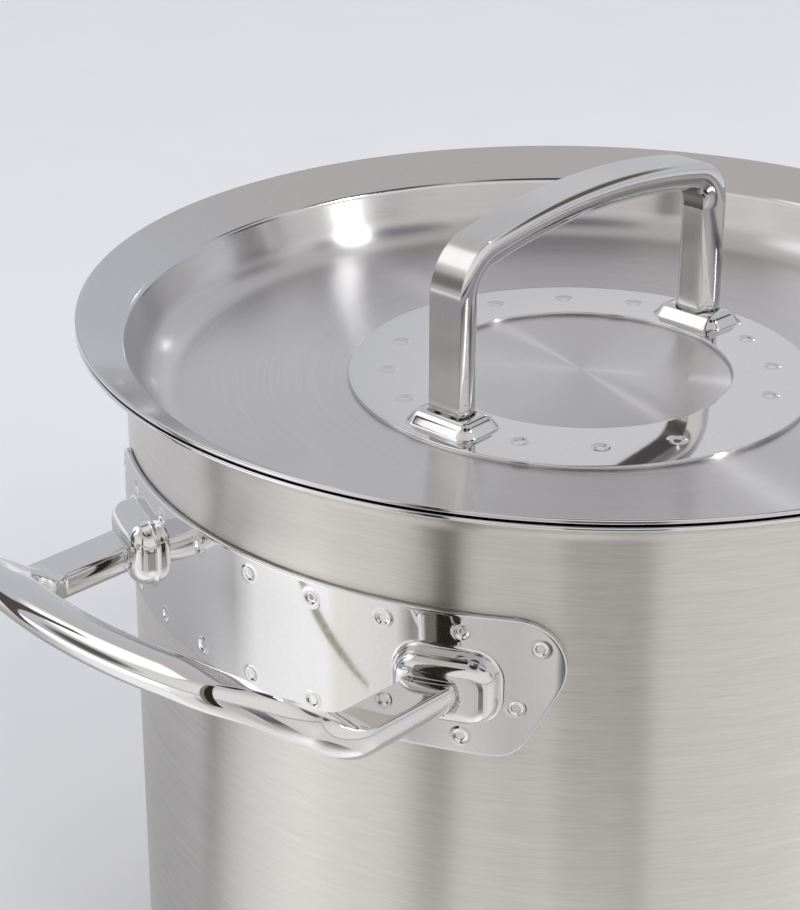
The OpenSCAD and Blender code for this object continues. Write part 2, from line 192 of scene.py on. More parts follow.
# %% [markdown]
# Two kinds of surface come back on every piece. A skin joins ring after ring of points, as on a
# bar that is carried along a line. A turned piece is a skin whose rings are circles about the
# axis, as a spinning lathe makes them. Both are closed, so that no seam or pole stays open.

# %% Skins and turned pieces
def wrapped_faces(lower, upper):
    """Quads between two bands of rings whose columns close on themselves."""
    return np.stack([lower, np.roll(lower, -1, 1), np.roll(upper, -1, 1), upper], 2)


def open_faces(index):
    """Quads of a grid of points that stays open at its four sides."""
    corners = [index[:-1, :-1], index[:-1, 1:], index[1:, 1:], index[1:, :-1]]
    return np.stack(corners, 2).reshape(-1, 4)


def skin(name, grid, loop=False, uv=None):
    """Closed surface over rings of points, grid[ring, place]. With loop the last ring joins the
    first. Otherwise each end is closed by a fan about the middle of its ring."""
    rings, places = grid.shape[:2]
    index = np.arange(rings * places).reshape(rings, places)
    if loop:
        return piece(name, grid, wrapped_faces(index, np.roll(index, -1, 0)))
    tips = np.stack([grid[0].mean(0), grid[-1].mean(0)])
    points = np.concatenate([grid.reshape(-1, 3), tips])
    near, far = index[0], index[-1]
    top = np.full(places, rings * places)
    fans = np.concatenate([np.stack([np.roll(near, -1), near, top], 1),
                           np.stack([far, np.roll(far, -1), top + 1], 1)])
    if uv is not None:
        uv = np.concatenate([uv.reshape(-1, 2), uv[[0, -1], 0]])
    return piece(name, points, wrapped_faces(index[:-1], index[1:]), fans, uv=uv)


def turned_piece(name, section, around):
    """Surface of revolution: the section's point (r, z) at the angle a is (r cos a, r sin a, z).
    A section that begins and ends on the axis is closed there by two poles."""
    r, z = section[1:-1].T[:, :, None]
    a = np.linspace(0, 2 * math.pi, around, endpoint=False)
    return skin(name, np.stack(np.broadcast_arrays(r * np.cos(a), r * np.sin(a), z), 2))


print("a grid of 3 x 4 points has", len(open_faces(np.arange(12).reshape(3, 4))), "open quads")

# %% [markdown]
# Welds and bosses need small faces, and the plain sheet between them doesn't. So the lines of a
# grid stand close where there is detail and drift apart elsewhere. Soft steps and sunken edges
# are plain formulas of a distance, which work on a whole grid at once.

# %% Spacing, steps and edges
def spaced(start, end, coarse, fine, places, edge=0.0, whole=1):
    """Positions from start to end: fine steps inside the places (low, high), coarse ones far from
    them. The running sum of 1/step grows evenly from one to the next. With an edge radius, both
    ends first follow edge (1 - cos q), so that a rounded edge gets even turns."""
    x = np.linspace(start + edge, end - edge, 6001)
    near = np.zeros_like(x)
    for low, high in places:
        away = np.maximum(np.maximum(low - x, x - high), 0)
        near = np.maximum(near, np.exp(-((away / (2 * coarse)) ** 2)))
    density = 1 / (coarse + (fine - coarse) * near)
    count = np.concatenate([[0], np.cumsum((density[1:] + density[:-1]) / 2 * np.diff(x))])
    turns = edge * (1 - np.cos(np.linspace(0, math.pi / 2, 7)))[:-1] if edge else np.zeros(0)
    steps = whole * math.ceil((count[-1] + 2 * len(turns)) / whole) - 2 * len(turns)
    inner = np.interp(np.linspace(0, count[-1], steps + 1), count, x)
    return np.concatenate([start + turns, inner, end - turns[::-1]])


def near_to(middles, reach):
    """The places (low, high) that lie within reach of each middle."""
    return [(m - reach, m + reach) for m in middles]


def smooth(x, low, high):
    """0 below low, 1 above high, and 3t^2 - 2t^3 between them."""
    t = np.clip((x - low) / (high - low), 0, 1)
    return t * t * (3 - 2 * t)


def fallen_edge(d, r):
    """How far a face has sunk at the distance d from its edge, rounded with the radius r."""
    return r - np.sqrt(np.maximum(r * r - np.maximum(r - d, 0) ** 2, 0))


print("steps of a rounded strip 10 wide:", len(spaced(0, 10, 1, 0.2, near_to([5], 1), 0.5)) - 1)

# %% [markdown]
# The pot body is one sheet: a floor, a bend, the upright wall, and a rim that flares outwards
# into a seat for the lid. A spun shape is a section turned about the axis.

# %% Pot body
pot_d, pot_h, pot_wall, pot_foot_r, pot_neck_r = 240.0, 210.0, 1.0, 12.0, 5.5
rim_reach, seat_reach, lip_gap, seat_gap = 13.5, 6.0, 0.6, 0.05
flange_deg, seat_bend_r, pot_lip_r = 30.3, 2.0, 0.4
seat_slope = math.tan(math.radians(flange_deg))
core_t, cap_t = 4.7, 0.8
pot_r, rim_r = pot_d / 2, pot_d / 2 + rim_reach
body_r, under_floor = pot_r + pot_wall, cap_t + core_t
floor_z, seat_r = under_floor + pot_wall, pot_r + seat_reach


def flange_z(r):
    """Height of the lid flange's underside at the distance r from the axis."""
    return pot_h + lip_gap - (rim_r - r) * seat_slope


def seat_z(r):
    """Height of the pot's seat, which leaves the flange a small gap."""
    return flange_z(r) - seat_gap


pot_face = [[0, floor_z, 0], [pot_r, floor_z, pot_foot_r], [pot_r, seat_z(pot_r), pot_neck_r],
            [seat_r, seat_z(seat_r), seat_bend_r], [rim_r, pot_h, 0]]
body = turned_piece("body_shell", sheet_section(pot_face, -pot_wall, pot_lip_r), 420)

# %% [markdown]
# Under the body a shallow steel cap holds the aluminium disc that spreads the heat. Only its
# rounded lower edge and its upstand show, so the disc keeps its measured solid.

# %% Base cap
cap_r, cap_edge_r = 108.0, 3.0
cap_face = [[0, 0, 0], [cap_r, 0, cap_edge_r], [cap_r, under_floor, 0]]
cap_inside = [[cap_r - cap_t, under_floor, 0.0], [cap_r - cap_t, cap_t, cap_edge_r - cap_t],
              [0, cap_t, 0]]
base_cap = turned_piece("base_pan", rounded(np.concatenate([cap_face, cap_inside])), 256)

# %% [markdown]
# The lid is a shallow dish. Its floor rises a little towards the middle, its wall drops into the
# pot's neck, and its flange lies on the seat. The two lips end in line with each other and leave
# the fine dark gap that runs round the pot.

# %% Lid
lid_t, lid_depth, crown_r, crown_h = 1.2, 22.4, 76.0, 1.7
lid_draft_deg, lid_lip_r = 20.0, 0.45
flange_cos, draft_tan = math.cos(math.radians(flange_deg)), math.tan(math.radians(lid_draft_deg))
lid_top = flange_z(rim_r) + lid_t / flange_cos
lid_floor_z = lid_top - lid_depth


def crown_z(r):
    """Height of the lid floor's upper face: a shallow parabola that ends flat at crown_r."""
    return lid_floor_z + crown_h * (1 - (np.minimum(r, crown_r) / crown_r) ** 2)


def dish_face(neck, neck_r, foot_r, down):
    """One face of the lid from the axis to the rim: crown, foot bend, steep wall, neck bend and
    flange. The face lies down below the upper one, measured square to the sheet."""
    up = (lid_t - down) / flange_cos
    foot = neck - (flange_z(neck) + up - lid_floor_z + down) * draft_tan
    r = np.linspace(0, crown_r, 48)
    return np.concatenate([
        np.stack([r, crown_z(r) - down, 0 * r], 1),
        [[foot, lid_floor_z - down, foot_r], [neck, flange_z(neck) + up, neck_r],
         [rim_r, flange_z(rim_r) + up, lid_lip_r]]])


lid_under, lid_upper = dish_face(121.1, 1.8, 12.0, lid_t), dish_face(120.9, 2.4, 10.8, 0.0)
lid = turned_piece("lid_dish", rounded(np.concatenate([lid_under, lid_upper[::-1]])), 396)

# %% [markdown]
# Bosses are pressed out of the ring and the plates where a handle leg goes through. The sheet
# turns up in a small fillet, stands upright and rounds over to a flat top. The grid's points are
# spread evenly along that bent profile, so the upright part is as smooth as the rest.

# %% Bosses
def boss(x, y, half_x, half_y, corner_r, height, slope_deg, round_r, fillet_r):
    """Lifts a pressed boss out of a flat grid. The distance inside a rounded rectangle is carried
    along the profile: fillet, steep side, round, flat. Returns x, y and the height."""
    qx, qy = np.abs(x) - half_x + corner_r, np.abs(y) - half_y + corner_r
    px, py = np.maximum(qx, 0), np.maximum(qy, 0)
    reach = np.hypot(px, py)
    inside = corner_r - reach - np.minimum(np.maximum(qx, qy), 0)
    flat_x = np.where(reach > 1e-9, px / np.maximum(reach, 1e-9), (qx >= qy).astype(float))
    flat_y = np.where(reach > 1e-9, py / np.maximum(reach, 1e-9), (qx < qy).astype(float))
    half_turn = math.tan(math.radians(slope_deg / 2))
    run = height / math.tan(math.radians(slope_deg))
    low, high = -fillet_r * half_turn - 0.8, run + round_r * half_turn + 0.9
    profile = rounded([[low, 0, 0], [0, 0, fillet_r], [run, height, round_r], [high, height, 0]])
    length = lengths(profile)
    along = np.interp(inside, [low, high], [0, length[-1]])
    across = np.interp(along, length, profile[:, 0])
    shift = np.where((inside > low) & (inside < high), across - inside, 0)
    lift = np.interp(along, length, profile[:, 1])
    return x - np.sign(x) * flat_x * shift, y - np.sign(y) * flat_y * shift, lift


ring_boss = dict(half_x=7.5, half_y=11.3, corner_r=4.2, height=3.6, slope_deg=54, round_r=4.0,
                 fillet_r=0.9)
plate_boss = dict(half_x=12.8, half_y=9.0, corner_r=6.8, height=6.0, slope_deg=80, round_r=4.6,
                  fillet_r=1.0)
middle_lift = boss(np.zeros(1), np.zeros(1), **plate_boss)[2]
print("the plate's boss is", round(float(middle_lift[0]), 2), "mm high")

# %% [markdown]
# A spot weld is a small round dimple with a raised lip, where two sheets were pressed together
# and melted. Each handle leg goes through its boss in a narrow open seam. Both are heights that
# are added to the grid.

# %% Spot welds and seams
weld_lip, weld_lip_r, weld_lip_w, weld_dimple = 0.1, 2.0, 0.34, 0.3
bar_r, bar_top, bar_bottom = 6.0, 3.0, 5.0
seam_depth, seam_in, seam_out = 1.3, 0.12, 0.34


def weld(d):
    """Height of a spot weld at the distance d from its middle: a bell-shaped lip round a flat
    dimple."""
    lip = weld_lip * np.exp(-(((d - weld_lip_r) / weld_lip_w) ** 2))
    return lip - weld_dimple * (1 - smooth(d, 1.1, 1.8))


def bar_distance(across, up):
    """Distance outside the handle bar's section: a circle cut by a flat above and one below."""
    return np.maximum(np.hypot(across, up) - bar_r, np.maximum(up - bar_top, -bar_bottom - up))


def seam(across, up):
    """Depth of the open seam round a leg, full at the bar and gone a little outside it."""
    return seam_depth * (1 - smooth(bar_distance(across, up), seam_in, seam_out))


print("weld lip", round(float(weld(weld_lip_r)), 2), "mm high, dimple",
      round(float(-weld(0.0)), 2), "mm deep")

# %% [markdown]
# The ring stiffens the middle of the lid and carries the handle. Its upper face is a polar grid,
# finer where welds and bosses are, and it joins a plain lower face over two rounded edges.

# %% Lid ring
ring_in, ring_out, ring_t, ring_edge_r, weld_gap = 40.3, 62.4, 1.1, 0.32, 0.05
ring_weld_r, ring_boss_x, leg_x = (ring_in + ring_out) / 2, 51.1, 51.5
ring_weld_deg = [90 * quarter + 22.5 * k for quarter in range(4) for k in (1, 2, 3)]
fine_deg = near_to(ring_weld_deg, 3.1) + near_to((0, 180, 360), 14.7)
angles = np.radians(spaced(0, 360, 1.2, 0.23, fine_deg))[:-1]
radii = spaced(ring_in, ring_out, 0.6, 0.21, [(42.6, 59.6)], ring_edge_r)
r, a = np.meshgrid(radii, angles, indexing="ij")
x, y = r * np.cos(a), r * np.sin(a)
side = np.where(x < 0, -1.0, 1.0)
bx, by, lift = boss(np.abs(x) - ring_boss_x, y, **ring_boss)
for q in np.radians(ring_weld_deg):
    lift = lift + weld(np.hypot(x - ring_weld_r * math.cos(q), y - ring_weld_r * math.sin(q)))
lift = lift - seam(by, bx + ring_boss_x - leg_x)
lift = lift - fallen_edge(np.minimum(r - ring_in, ring_out - r), ring_edge_r)
upper = np.stack([side * (bx + ring_boss_x), by, crown_z(r) + weld_gap + ring_t + lift], 2)
r, a = np.meshgrid(np.linspace(ring_out, ring_in, 5), angles, indexing="ij")
lower = np.stack([r * np.cos(a), r * np.sin(a), crown_z(r) + weld_gap], 2)
ring = skin("ring_disc", np.concatenate([upper, lower]), loop=True)

# %% [markdown]
# A handle is a round bar pressed flat on its outside and its inside, with slightly softened
# edges. Its section is carried along the bar's centre line, and each ring of points is turned so
# that the flat keeps facing outwards.

# %% Handle bar section
def soft_least(a, b, k=0.16):
    """The smaller of a and b, rounded off where they are nearly equal."""
    return (a + b - np.sqrt((a - b) ** 2 + k * k)) / 2


top_sin, bottom_sin = bar_top / bar_r, bar_bottom / bar_r
top_edge, bottom_edge = math.degrees(math.asin(top_sin)), math.degrees(math.asin(bottom_sin))
edges = [top_edge, 180 - top_edge, 180 + bottom_edge, 360 - bottom_edge]
turns = np.radians(spaced(0, 360, 4.5, 0.7, near_to(edges, 5)))[:-1]
section_across = bar_r * np.cos(turns)
section_out = -soft_least(-soft_least(bar_r * np.sin(turns), bar_top), bar_bottom)


def bar_uv(centre_line):
    """u runs along the bar and v round its section, both as true lengths in metres."""
    u, v = lengths(centre_line), lengths(np.stack([section_across, section_out], 1))
    return np.stack(np.meshgrid(u, v, indexing="ij"), 2) / 1000


print("handle section:", len(turns), "points,", round(float(np.ptp(section_out)), 2), "mm thick")

# %% [markdown]
# The lid handle stands on the ring: two upright legs, two bends, and a shallow arch between them.
# Its centre line is a row of points (x, z), each with the direction q in which the flat looks.

# %% Lid handle
grip_top, grip_arch_r, grip_bend_r = lid_top + 32.6, 210.0, 14.8
bend_r, arch_r, arch_z = grip_bend_r - bar_top, grip_arch_r - bar_top, grip_top - grip_arch_r
bend_x = leg_x - bend_r
bend_z = arch_z + math.sqrt((arch_r - bend_r) ** 2 - bend_x ** 2)
arch_half = math.asin(bend_x / (arch_r - bend_r))
leg_foot_z = float(crown_z(leg_x - bar_bottom)) + weld_gap

q = np.linspace(0, math.pi / 2 - arch_half, 34)
bend = np.stack([bend_x + bend_r * np.cos(q), bend_z + bend_r * np.sin(q), q], 1)
q = math.pi / 2 - arch_half * np.linspace(1, 0, 22)[1:]
arch = np.stack([arch_r * np.cos(q), arch_z + arch_r * np.sin(q), q], 1)
leg = np.stack([np.full(3, leg_x), [leg_foot_z, leg_foot_z + 8, bend_z - 0.4], np.zeros(3)], 1)
half = np.concatenate([leg, bend, arch])
centre = np.concatenate([half, (half * [-1, 1, -1] + [0, 0, math.pi])[-2::-1]])
cx, cz, q = centre.T[:, :, None]
grid = np.stack(np.broadcast_arrays(cx + section_out * np.cos(q), section_across + 0 * q,
                                    cz + section_out * np.sin(q)), 2)
lid_handle = skin("lid_grip", grid, uv=bar_uv(centre[:, :2]))

# %% [markdown]
# Each side handle is welded behind a long plate that is bent round the pot. The plate's outline
# narrows downwards and has rounded corners.

# %% Plate outline
plate_in, plate_out, plate_top, plate_h = 121.3, 122.5, pot_h - 30.0, 36.3
plate_low, top_half, bottom_half = plate_top - plate_h, 90.2, 71.0
outline = rounded([[0, plate_low, 0], [bottom_half, plate_low, 10], [top_half, plate_top, 12],
                   [0, plate_top, 0]], 2.0)


def half_at(z):
    """Half length of the plate at height z, read from its outline."""
    return np.interp(z, outline[1:-1, 1], outline[1:-1, 0])


def outline_distance(s, z):
    """Shortest distance from each point to the outline's straight pieces, at most 3."""
    best = np.full(s.shape, 3.0)
    for (s0, z0), (s1, z1) in zip(outline, outline[1:]):
        ds, dz = s1 - s0, z1 - z0
        t = np.clip(((s - s0) * ds + (z - z0) * dz) / (ds * ds + dz * dz), 0, 1)
        best = np.minimum(best, np.hypot(s - s0 - t * ds, z - z0 - t * dz))
    return best


widest = 2 * float(outline[:, 0].max())
print("plate outline:", len(outline), "points,", round(widest, 1), "mm at its widest")

# %% [markdown]
# Seven welds stand along the plate's upper edge and seven along its lower one, with two more at
# each end. Rows of the grid run from the lower to the upper edge, and each row is stretched at
# both ends to meet the outline, so no face is cut.

# %% Plate welds and grid
leg_s, leg_z, straight, grid_half, plate_edge_r = 53.0, plate_top - 18.2, 61.0, 81.0, 0.45
boss_s = plate_out * (math.asin(leg_s / body_r) - math.radians(0.5))
slant = (top_half - bottom_half) / plate_h
weld_columns, weld_rows = [19.3 * k for k in range(-3, 4)], (plate_top - 4.5, plate_low + 4.5)
end_welds = [(d, top_half - d * slant - inset) for d, inset in ((6.9, 10.5), (22.8, 7.3))]
plate_welds = [(s, z) for s in weld_columns for z in weld_rows]
plate_welds += [(sign * s, plate_top - d) for d, s in end_welds for sign in (-1, 1)]
fine_z = near_to(sorted({z for s, z in plate_welds}), 2.6) + near_to([leg_z], 10)
fine_s = near_to(weld_columns, 2.6) + [(38, grid_half), (-grid_half, -38)]
inner_columns = 24
rows = spaced(plate_low, plate_top, 0.6, 0.24, fine_z, plate_edge_r)
columns = spaced(-grid_half, grid_half, 1.4, 0.33, fine_s, plate_edge_r, whole=inner_columns)
print("plate grid:", len(rows), "rows,", len(columns), "columns,", len(plate_welds), "welds")

# %% [markdown]
# The plate is the flat grid wrapped round the pot, the angle being s / plate_out. Bosses, welds,
# seams and the rounded edge are heights on it. Its inner face is plain, so it has far fewer
# columns, and long narrow strips along two edges join the fine columns to the coarse ones.

# %% Handle plates
def plate(name, sign):
    """One handle plate: its outer face, its inner face and its four sides."""
    z, s = np.meshgrid(rows, columns, indexing="ij")
    ends = (np.abs(s) - straight) / (grid_half - straight)
    s = np.where(ends > 0, np.sign(s) * (straight + (half_at(z) - straight) * ends), s)
    edge = outline_distance(np.abs(s), z)
    bs, bz, lift = boss(np.abs(s) - boss_s, z - leg_z, **plate_boss)
    s_new, z_new = np.where(s < 0, -1, 1) * (bs + boss_s), bz + leg_z
    for ws, wz in plate_welds:
        lift = lift + weld(np.hypot(s - ws, z - wz)) * (lift < 0.01)
    r = plate_out + lift
    lift = lift - seam(r * np.sin(np.abs(s_new) / plate_out) - leg_s, z_new - leg_z)
    r = plate_out + lift - fallen_edge(edge, plate_edge_r)
    a = s_new / plate_out
    outer = np.stack([sign * r * np.cos(a), r * np.sin(a), z_new], 2)
    step = (len(columns) - 1) // inner_columns
    a = s[:, ::step] / plate_out
    inner = np.stack([sign * plate_in * np.cos(a), plate_in * np.sin(a), z[:, ::step]], 2)
    n = outer.shape[0] * outer.shape[1]
    o = np.arange(n).reshape(outer.shape[:2])
    i = n + np.arange(inner.shape[0] * inner.shape[1]).reshape(inner.shape[:2])
    quads = [open_faces(o), open_faces(i[:, ::-1]),
             np.stack([o[1:, 0], o[:-1, 0], i[:-1, 0], i[1:, 0]], 1),
             np.stack([o[:-1, -1], o[1:, -1], i[1:, -1], i[:-1, -1]], 1)]
    first = np.arange(inner_columns)[:, None] * step + np.arange(step + 1)
    strips = []
    for row, turn in ((0, -1), (-1, 1)):
        strip = np.concatenate([o[row][first], i[row][1:, None], i[row][:-1, None]], 1)
        strips.append(strip[:, ::turn])
    points = np.concatenate([outer.reshape(-1, 3), inner.reshape(-1, 3)])
    return piece(name, points, np.concatenate(quads), *strips)


plate_left, plate_right = plate("plate_left", -1), plate("plate_right", 1)

# %% [markdown]
# A side handle leaves its two bosses level, sweeps upwards while its arms draw together, and
# ends in a gently bowed crossbar. Its centre line is drawn flat on a rising strip: p runs
# outwards along the strip and s along the pot.

# %% Side handle's centre line
arm_s, leg_l, arm_run, corner_r = 48.0, 30.6, 36.8, 24.0
crossbar_r, draw_in_l = 140.0, 14.0
rise, rest_slope = math.radians(36), math.radians(6)
lower_bend_r, slope_l, upper_bend_r = 15.0, 15.0, 20.0
lower_l, upper_l = lower_bend_r * rise, upper_bend_r * (rise - rest_slope)
leg_end = math.sqrt(body_r ** 2 - leg_s ** 2) + leg_l
strip_step = 0.02


def slope_at(p):
    """Slope of the strip: level, up to the full rise over the lower bend, back over the upper."""
    return np.interp(p, [0, lower_l, lower_l + slope_l, lower_l + slope_l + upper_l],
                     [0, rise, rise, rest_slope])


def strip_at(p):
    """Place (x, z) on the strip: cosine and sine of its slope summed up along p, step by step."""
    t = np.arange(-60, 80, strip_step)
    a = slope_at(t + strip_step / 2)
    x, z = np.cumsum(np.cos(a)) * strip_step, np.cumsum(np.sin(a)) * strip_step
    zero = np.searchsorted(t, -1e-9) - 1
    t = t + strip_step
    return leg_end + np.interp(p, t, x - x[zero]), leg_z + np.interp(p, t, z - z[zero])


def drawn_in(p):
    """Distance s of an arm from the handle's middle: half a cosine wave from leg to arm."""
    return arm_s + (leg_s - arm_s) * (1 + np.cos(math.pi * np.clip(p / draw_in_l, 0, 1))) / 2


corner_turn = math.asin((arm_s - corner_r) / (crossbar_r - corner_r))
corner_p = arm_run - crossbar_r + (crossbar_r - corner_r) * math.cos(corner_turn)
p = np.linspace(-leg_l - 12, -1, 14)
outer_leg = np.stack([p, np.full_like(p, leg_s)], 1)
p = np.linspace(0, corner_p, 24)
arm = np.stack([p, drawn_in(p)], 1)
q = np.linspace(0, math.pi / 2 - corner_turn, 60)[1:]
p = corner_p + corner_r * np.sin(q)
corner = np.stack([p, drawn_in(p) - corner_r * (1 - np.cos(q))], 1)
q = corner_turn * np.linspace(1, 0, 30)[1:]
crossbar = np.stack([arm_run - crossbar_r + crossbar_r * np.cos(q), crossbar_r * np.sin(q)], 1)
half = np.concatenate([outer_leg, arm, corner, crossbar])
line = np.concatenate([half * [1, -1], half[-2::-1]])
print("side handle's centre line:", round(float(lengths(line)[-1])), "mm along the strip")

# %% [markdown]
# The section of the lid handle is carried along this line too. Along the crossbar the flatted
# bar becomes an oval, which is kinder to the hand. The legs end on the pot's wall.

# %% Side handles
oval_w, oval_h, oval_from, oval_to = 11.4, 9.8, arm_s - 4, arm_s / 2


def side_handle(name, sign):
    """The bar's section along the line on the strip, its width lying across the line and its flat
    side up. The oval takes over along half a cosine wave."""
    run = np.gradient(line, axis=0)
    run = run / np.linalg.norm(run, axis=1)[:, None]
    slope = slope_at(line[:, 0])
    x, z = strip_at(line[:, 0])
    inward = np.clip((oval_from - np.abs(line[:, 1])) / (oval_from - oval_to), 0, 1)
    share = np.where(line[:, 0] > draw_in_l, (1 - np.cos(math.pi * inward)) / 2, 0)[:, None]
    w = (1 - share) * section_across + share * oval_w / 2 * np.cos(turns)
    h = (1 - share) * section_out + share * oval_h / 2 * np.sin(turns)
    c, s = np.cos(slope)[:, None], np.sin(slope)[:, None]
    gx = x[:, None] - w * run[:, 1:] * c - h * s
    gy = line[:, 1:] + w * run[:, :1]
    gz = z[:, None] - w * run[:, 1:] * s + h * c
    gx = np.maximum(gx, np.sqrt(body_r ** 2 - np.minimum(gy ** 2, 100 ** 2)))
    return skin(name, np.stack([sign * gx, gy, gz], 2))


grip_left, grip_right = side_handle("grip_left", -1), side_handle("grip_right", 1)

# %% [markdown]
# A material is a small tree of nodes. One helper adds a node and fills its inputs in the same
# line, so each finish below reads like a list of what it is made of.

# %% Material helpers
def material(name):
    """An empty material, and a helper that adds one node with its inputs set or linked."""
    made = bpy.data.materials.new(name)
    made.use_nodes = True
    tree = made.node_tree
    tree.nodes.clear()

    def add(kind, out=0, **inputs):
        node = tree.nodes.new("ShaderNode" + kind)
        for key, value in inputs.items():
            if key.startswith("set_"):
                setattr(node, key[4:], value)
                continue
            target = node.inputs[int(key[3:]) if key.startswith("in_") else key.replace("_", " ")]
            if hasattr(value, "links"):
                tree.links.new(value, target)
            else:
                target.default_value = value
        return node.outputs[out] if node.outputs else node

    return made, add


def hairlines(add, where, scale, detail=3.0):
    """Noise squeezed across the grooves and drawn out along them."""
    placed = add("Mapping", Vector=where, Scale=scale)
    return add("TexNoise", Vector=placed, Scale=1.0, Detail=detail, Roughness=0.6)


def round_the_axis(add):
    """(x / r, y / r, r) of a point: its direction from the axis and its distance from it."""
    where = add("TexCoord", out=3)
    level = add("VectorMath", set_operation="MULTIPLY", in_0=where, in_1=(1, 1, 0))
    away = add("VectorMath", out=1, set_operation="LENGTH", in_0=level)
    toward = add("VectorMath", set_operation="NORMALIZE", in_0=level)
    return add("VectorMath", set_operation="ADD", in_0=toward, in_1=add("CombineXYZ", Z=away))


groove_depth = 0.00006
print("depth of the brushed grooves:", round(groove_depth * 1e6), "thousandths of a millimetre")

# %% [markdown]
# Steel's finish is all in its reflections. Brushing leaves fine grooves, and light that falls
# across them is spread far to both sides, so a highlight stretches at right angles to the grooves.
# The grooves run level round the body and in circles on the lid, so the tangent runs round the
# axis and is turned by a quarter turn. Long thin noise gives the hairlines. Polished sheet has no
# grooves, only a slow waviness and fine wiping marks.

# %% Brushed and polished steel
def steel(name, colour, roughness, spread, anisotropic, lines, scale, bump, grooves):
    """Brushed steel: hairlines move the roughness and the colour a little and raise a fine bump.
    The grooves run level round a wall, in circles round the axis, or along a bar."""
    made, add = material(name)
    if grooves == "circles":
        where = round_the_axis(add)
    else:
        where = add("TexCoord", out=2 if grooves == "along" else 3)
    fine = hairlines(add, where, scale)
    broad = hairlines(add, where, tuple(k * 0.22 for k in scale), 2.0)
    both = add("Math", set_operation="MULTIPLY_ADD", in_0=broad, in_1=0.6, in_2=fine)
    rough = add("MapRange", Value=both, From_Min=0.45, From_Max=1.15,
                To_Min=roughness - spread, To_Max=roughness + spread)
    shade = add("MapRange", Value=both, From_Min=0.4, From_Max=1.2,
                To_Min=1 - lines, To_Max=1 + lines)
    tint = add("VectorMath", set_operation="SCALE", in_0=colour, Scale=shade)
    if grooves == "along":
        tangent = add("Tangent", set_direction_type="UV_MAP", set_uv_map="along")
    else:
        tangent = add("Tangent", set_direction_type="RADIAL", set_axis="Z")
    raised = add("Bump", Height=both, Strength=bump, Distance=groove_depth)
    shader = add("BsdfPrincipled", Base_Color=tint, Metallic=1.0, Roughness=rough, Normal=raised,
                 Tangent=tangent, Anisotropic=anisotropic, Anisotropic_Rotation=0.25)
    add("OutputMaterial", Surface=shader)
    return made


def polished(name, colour, roughness, wave):
    """Mirror-polished sheet: a slow waviness bends the reflections, fine wiping marks dull them."""
    made, add = material(name)
    where = add("TexCoord", out=3)
    slow = add("TexNoise", Vector=where, Scale=26.0, Detail=1.0)
    marks = add("TexNoise", Vector=where, Scale=900.0, Detail=4.0, Roughness=0.7)
    rough = add("MapRange", Value=marks, From_Min=0.3, From_Max=0.7,
                To_Min=roughness * 0.75, To_Max=roughness * 1.35)
    raised = add("Bump", Height=slow, Strength=wave, Distance=0.002)
    shade = add("MapRange", Value=marks, From_Min=0.3, From_Max=0.7, To_Min=0.98, To_Max=1.02)
    tint = add("VectorMath", set_operation="SCALE", in_0=colour, Scale=shade)
    shader = add("BsdfPrincipled", Base_Color=tint, Metallic=1.0, Roughness=rough, Normal=raised)
    add("OutputMaterial", Surface=shader)
    return made


# The body is satin and warm, and the lid floor is smoother and cooler. Ring, plates and side
# handles are polished like a mirror. The lid handle's flats keep the lines of the grinding belt,
# and its inside under the arch is a darker copy of them: painted shade.
satin_body = steel("satin_body", (0.70, 0.68, 0.657), roughness=0.32, spread=0.03,
                   anisotropic=1.0, lines=0.12, scale=(110, 110, 2600), bump=0.6,
                   grooves="level")
satin_floor = steel("satin_lid_floor", (0.655, 0.645, 0.65), roughness=0.22, spread=0.015,
                    anisotropic=1.0, lines=0.05, scale=(5, 5, 3200), bump=0.25,
                    grooves="circles")
mirror = polished("mirror_steel", (0.74, 0.735, 0.735), roughness=0.045, wave=0.02)
flange = polished("flange_steel", (0.66, 0.655, 0.66), roughness=0.11, wave=0.01)
brushed_flat = steel("brushed_flat", (0.70, 0.69, 0.68), roughness=0.2, spread=0.03,
                     anisotropic=0.6, lines=0.06, scale=(40, 3500, 1), bump=0.1, grooves="along")
# Painted shade: the same brushed steel made much darker, for the inside of the arch.
painted_shade_steel = steel("painted_shade_under_arch", (0.2, 0.19, 0.18), roughness=0.3, spread=0.04,
                  anisotropic=0.6, lines=0.06, scale=(40, 3500, 1), bump=0.2, grooves="along")
aluminium = steel("turned_aluminium", (0.72, 0.73, 0.74), roughness=0.42, spread=0.05,
                  anisotropic=0.5, lines=0.05, scale=(9, 9, 1800), bump=0.3, grooves="circles")
print("finishes:", ", ".join(m.name for m in bpy.data.materials if m.users == 0))

# %% [markdown]
# Some pieces have two finishes that meet along a bend, such as the satin wall and the polished
# rim. The piece stays whole, and each face picks its finish by where its middle lies.

# %% Finishes on their pieces
def dress(obj, slot_name, *materials):
    """Puts the finishes on a piece. slot_name is not used."""
    for m in materials:
        obj.data.materials.append(m)


def give_finish(obj, number):
    """Gives every face the finish of its number, 0 being the first."""
    number = number.astype(np.int32)
    obj.data.polygons.foreach_set("material_index", number)
    for k, m in enumerate(obj.data.materials):
        print(f"{obj.name}: {int((number == k).sum())} faces have {m.name}")


def faces_where(obj, test):
    """Gives the second finish to faces whose middle passes the test on (r, z) in millimetres."""
    middle = np.empty(len(obj.data.polygons) * 3, np.float32)
    obj.data.polygons.foreach_get("center", middle)
    x, y, z = middle.reshape(-1, 3).T * 1000
    give_finish(obj, test(np.hypot(x, y), z))


dress(body, "satin_steel", satin_body, mirror)
faces_where(body, lambda r, z: (r > pot_r + 2.2) & (z > pot_h - 16))
dress(base_cap, "satin_steel", satin_body)
dress(lid, "lid_steel", satin_floor, flange)
faces_where(lid, lambda r, z: (r > 120.35) & (z > 200))
for obj in (ring, plate_left, plate_right, grip_left, grip_right):
    dress(obj, "polished_steel", mirror)
dress(lid_handle, "polished_steel", mirror, brushed_flat, painted_shade_steel)
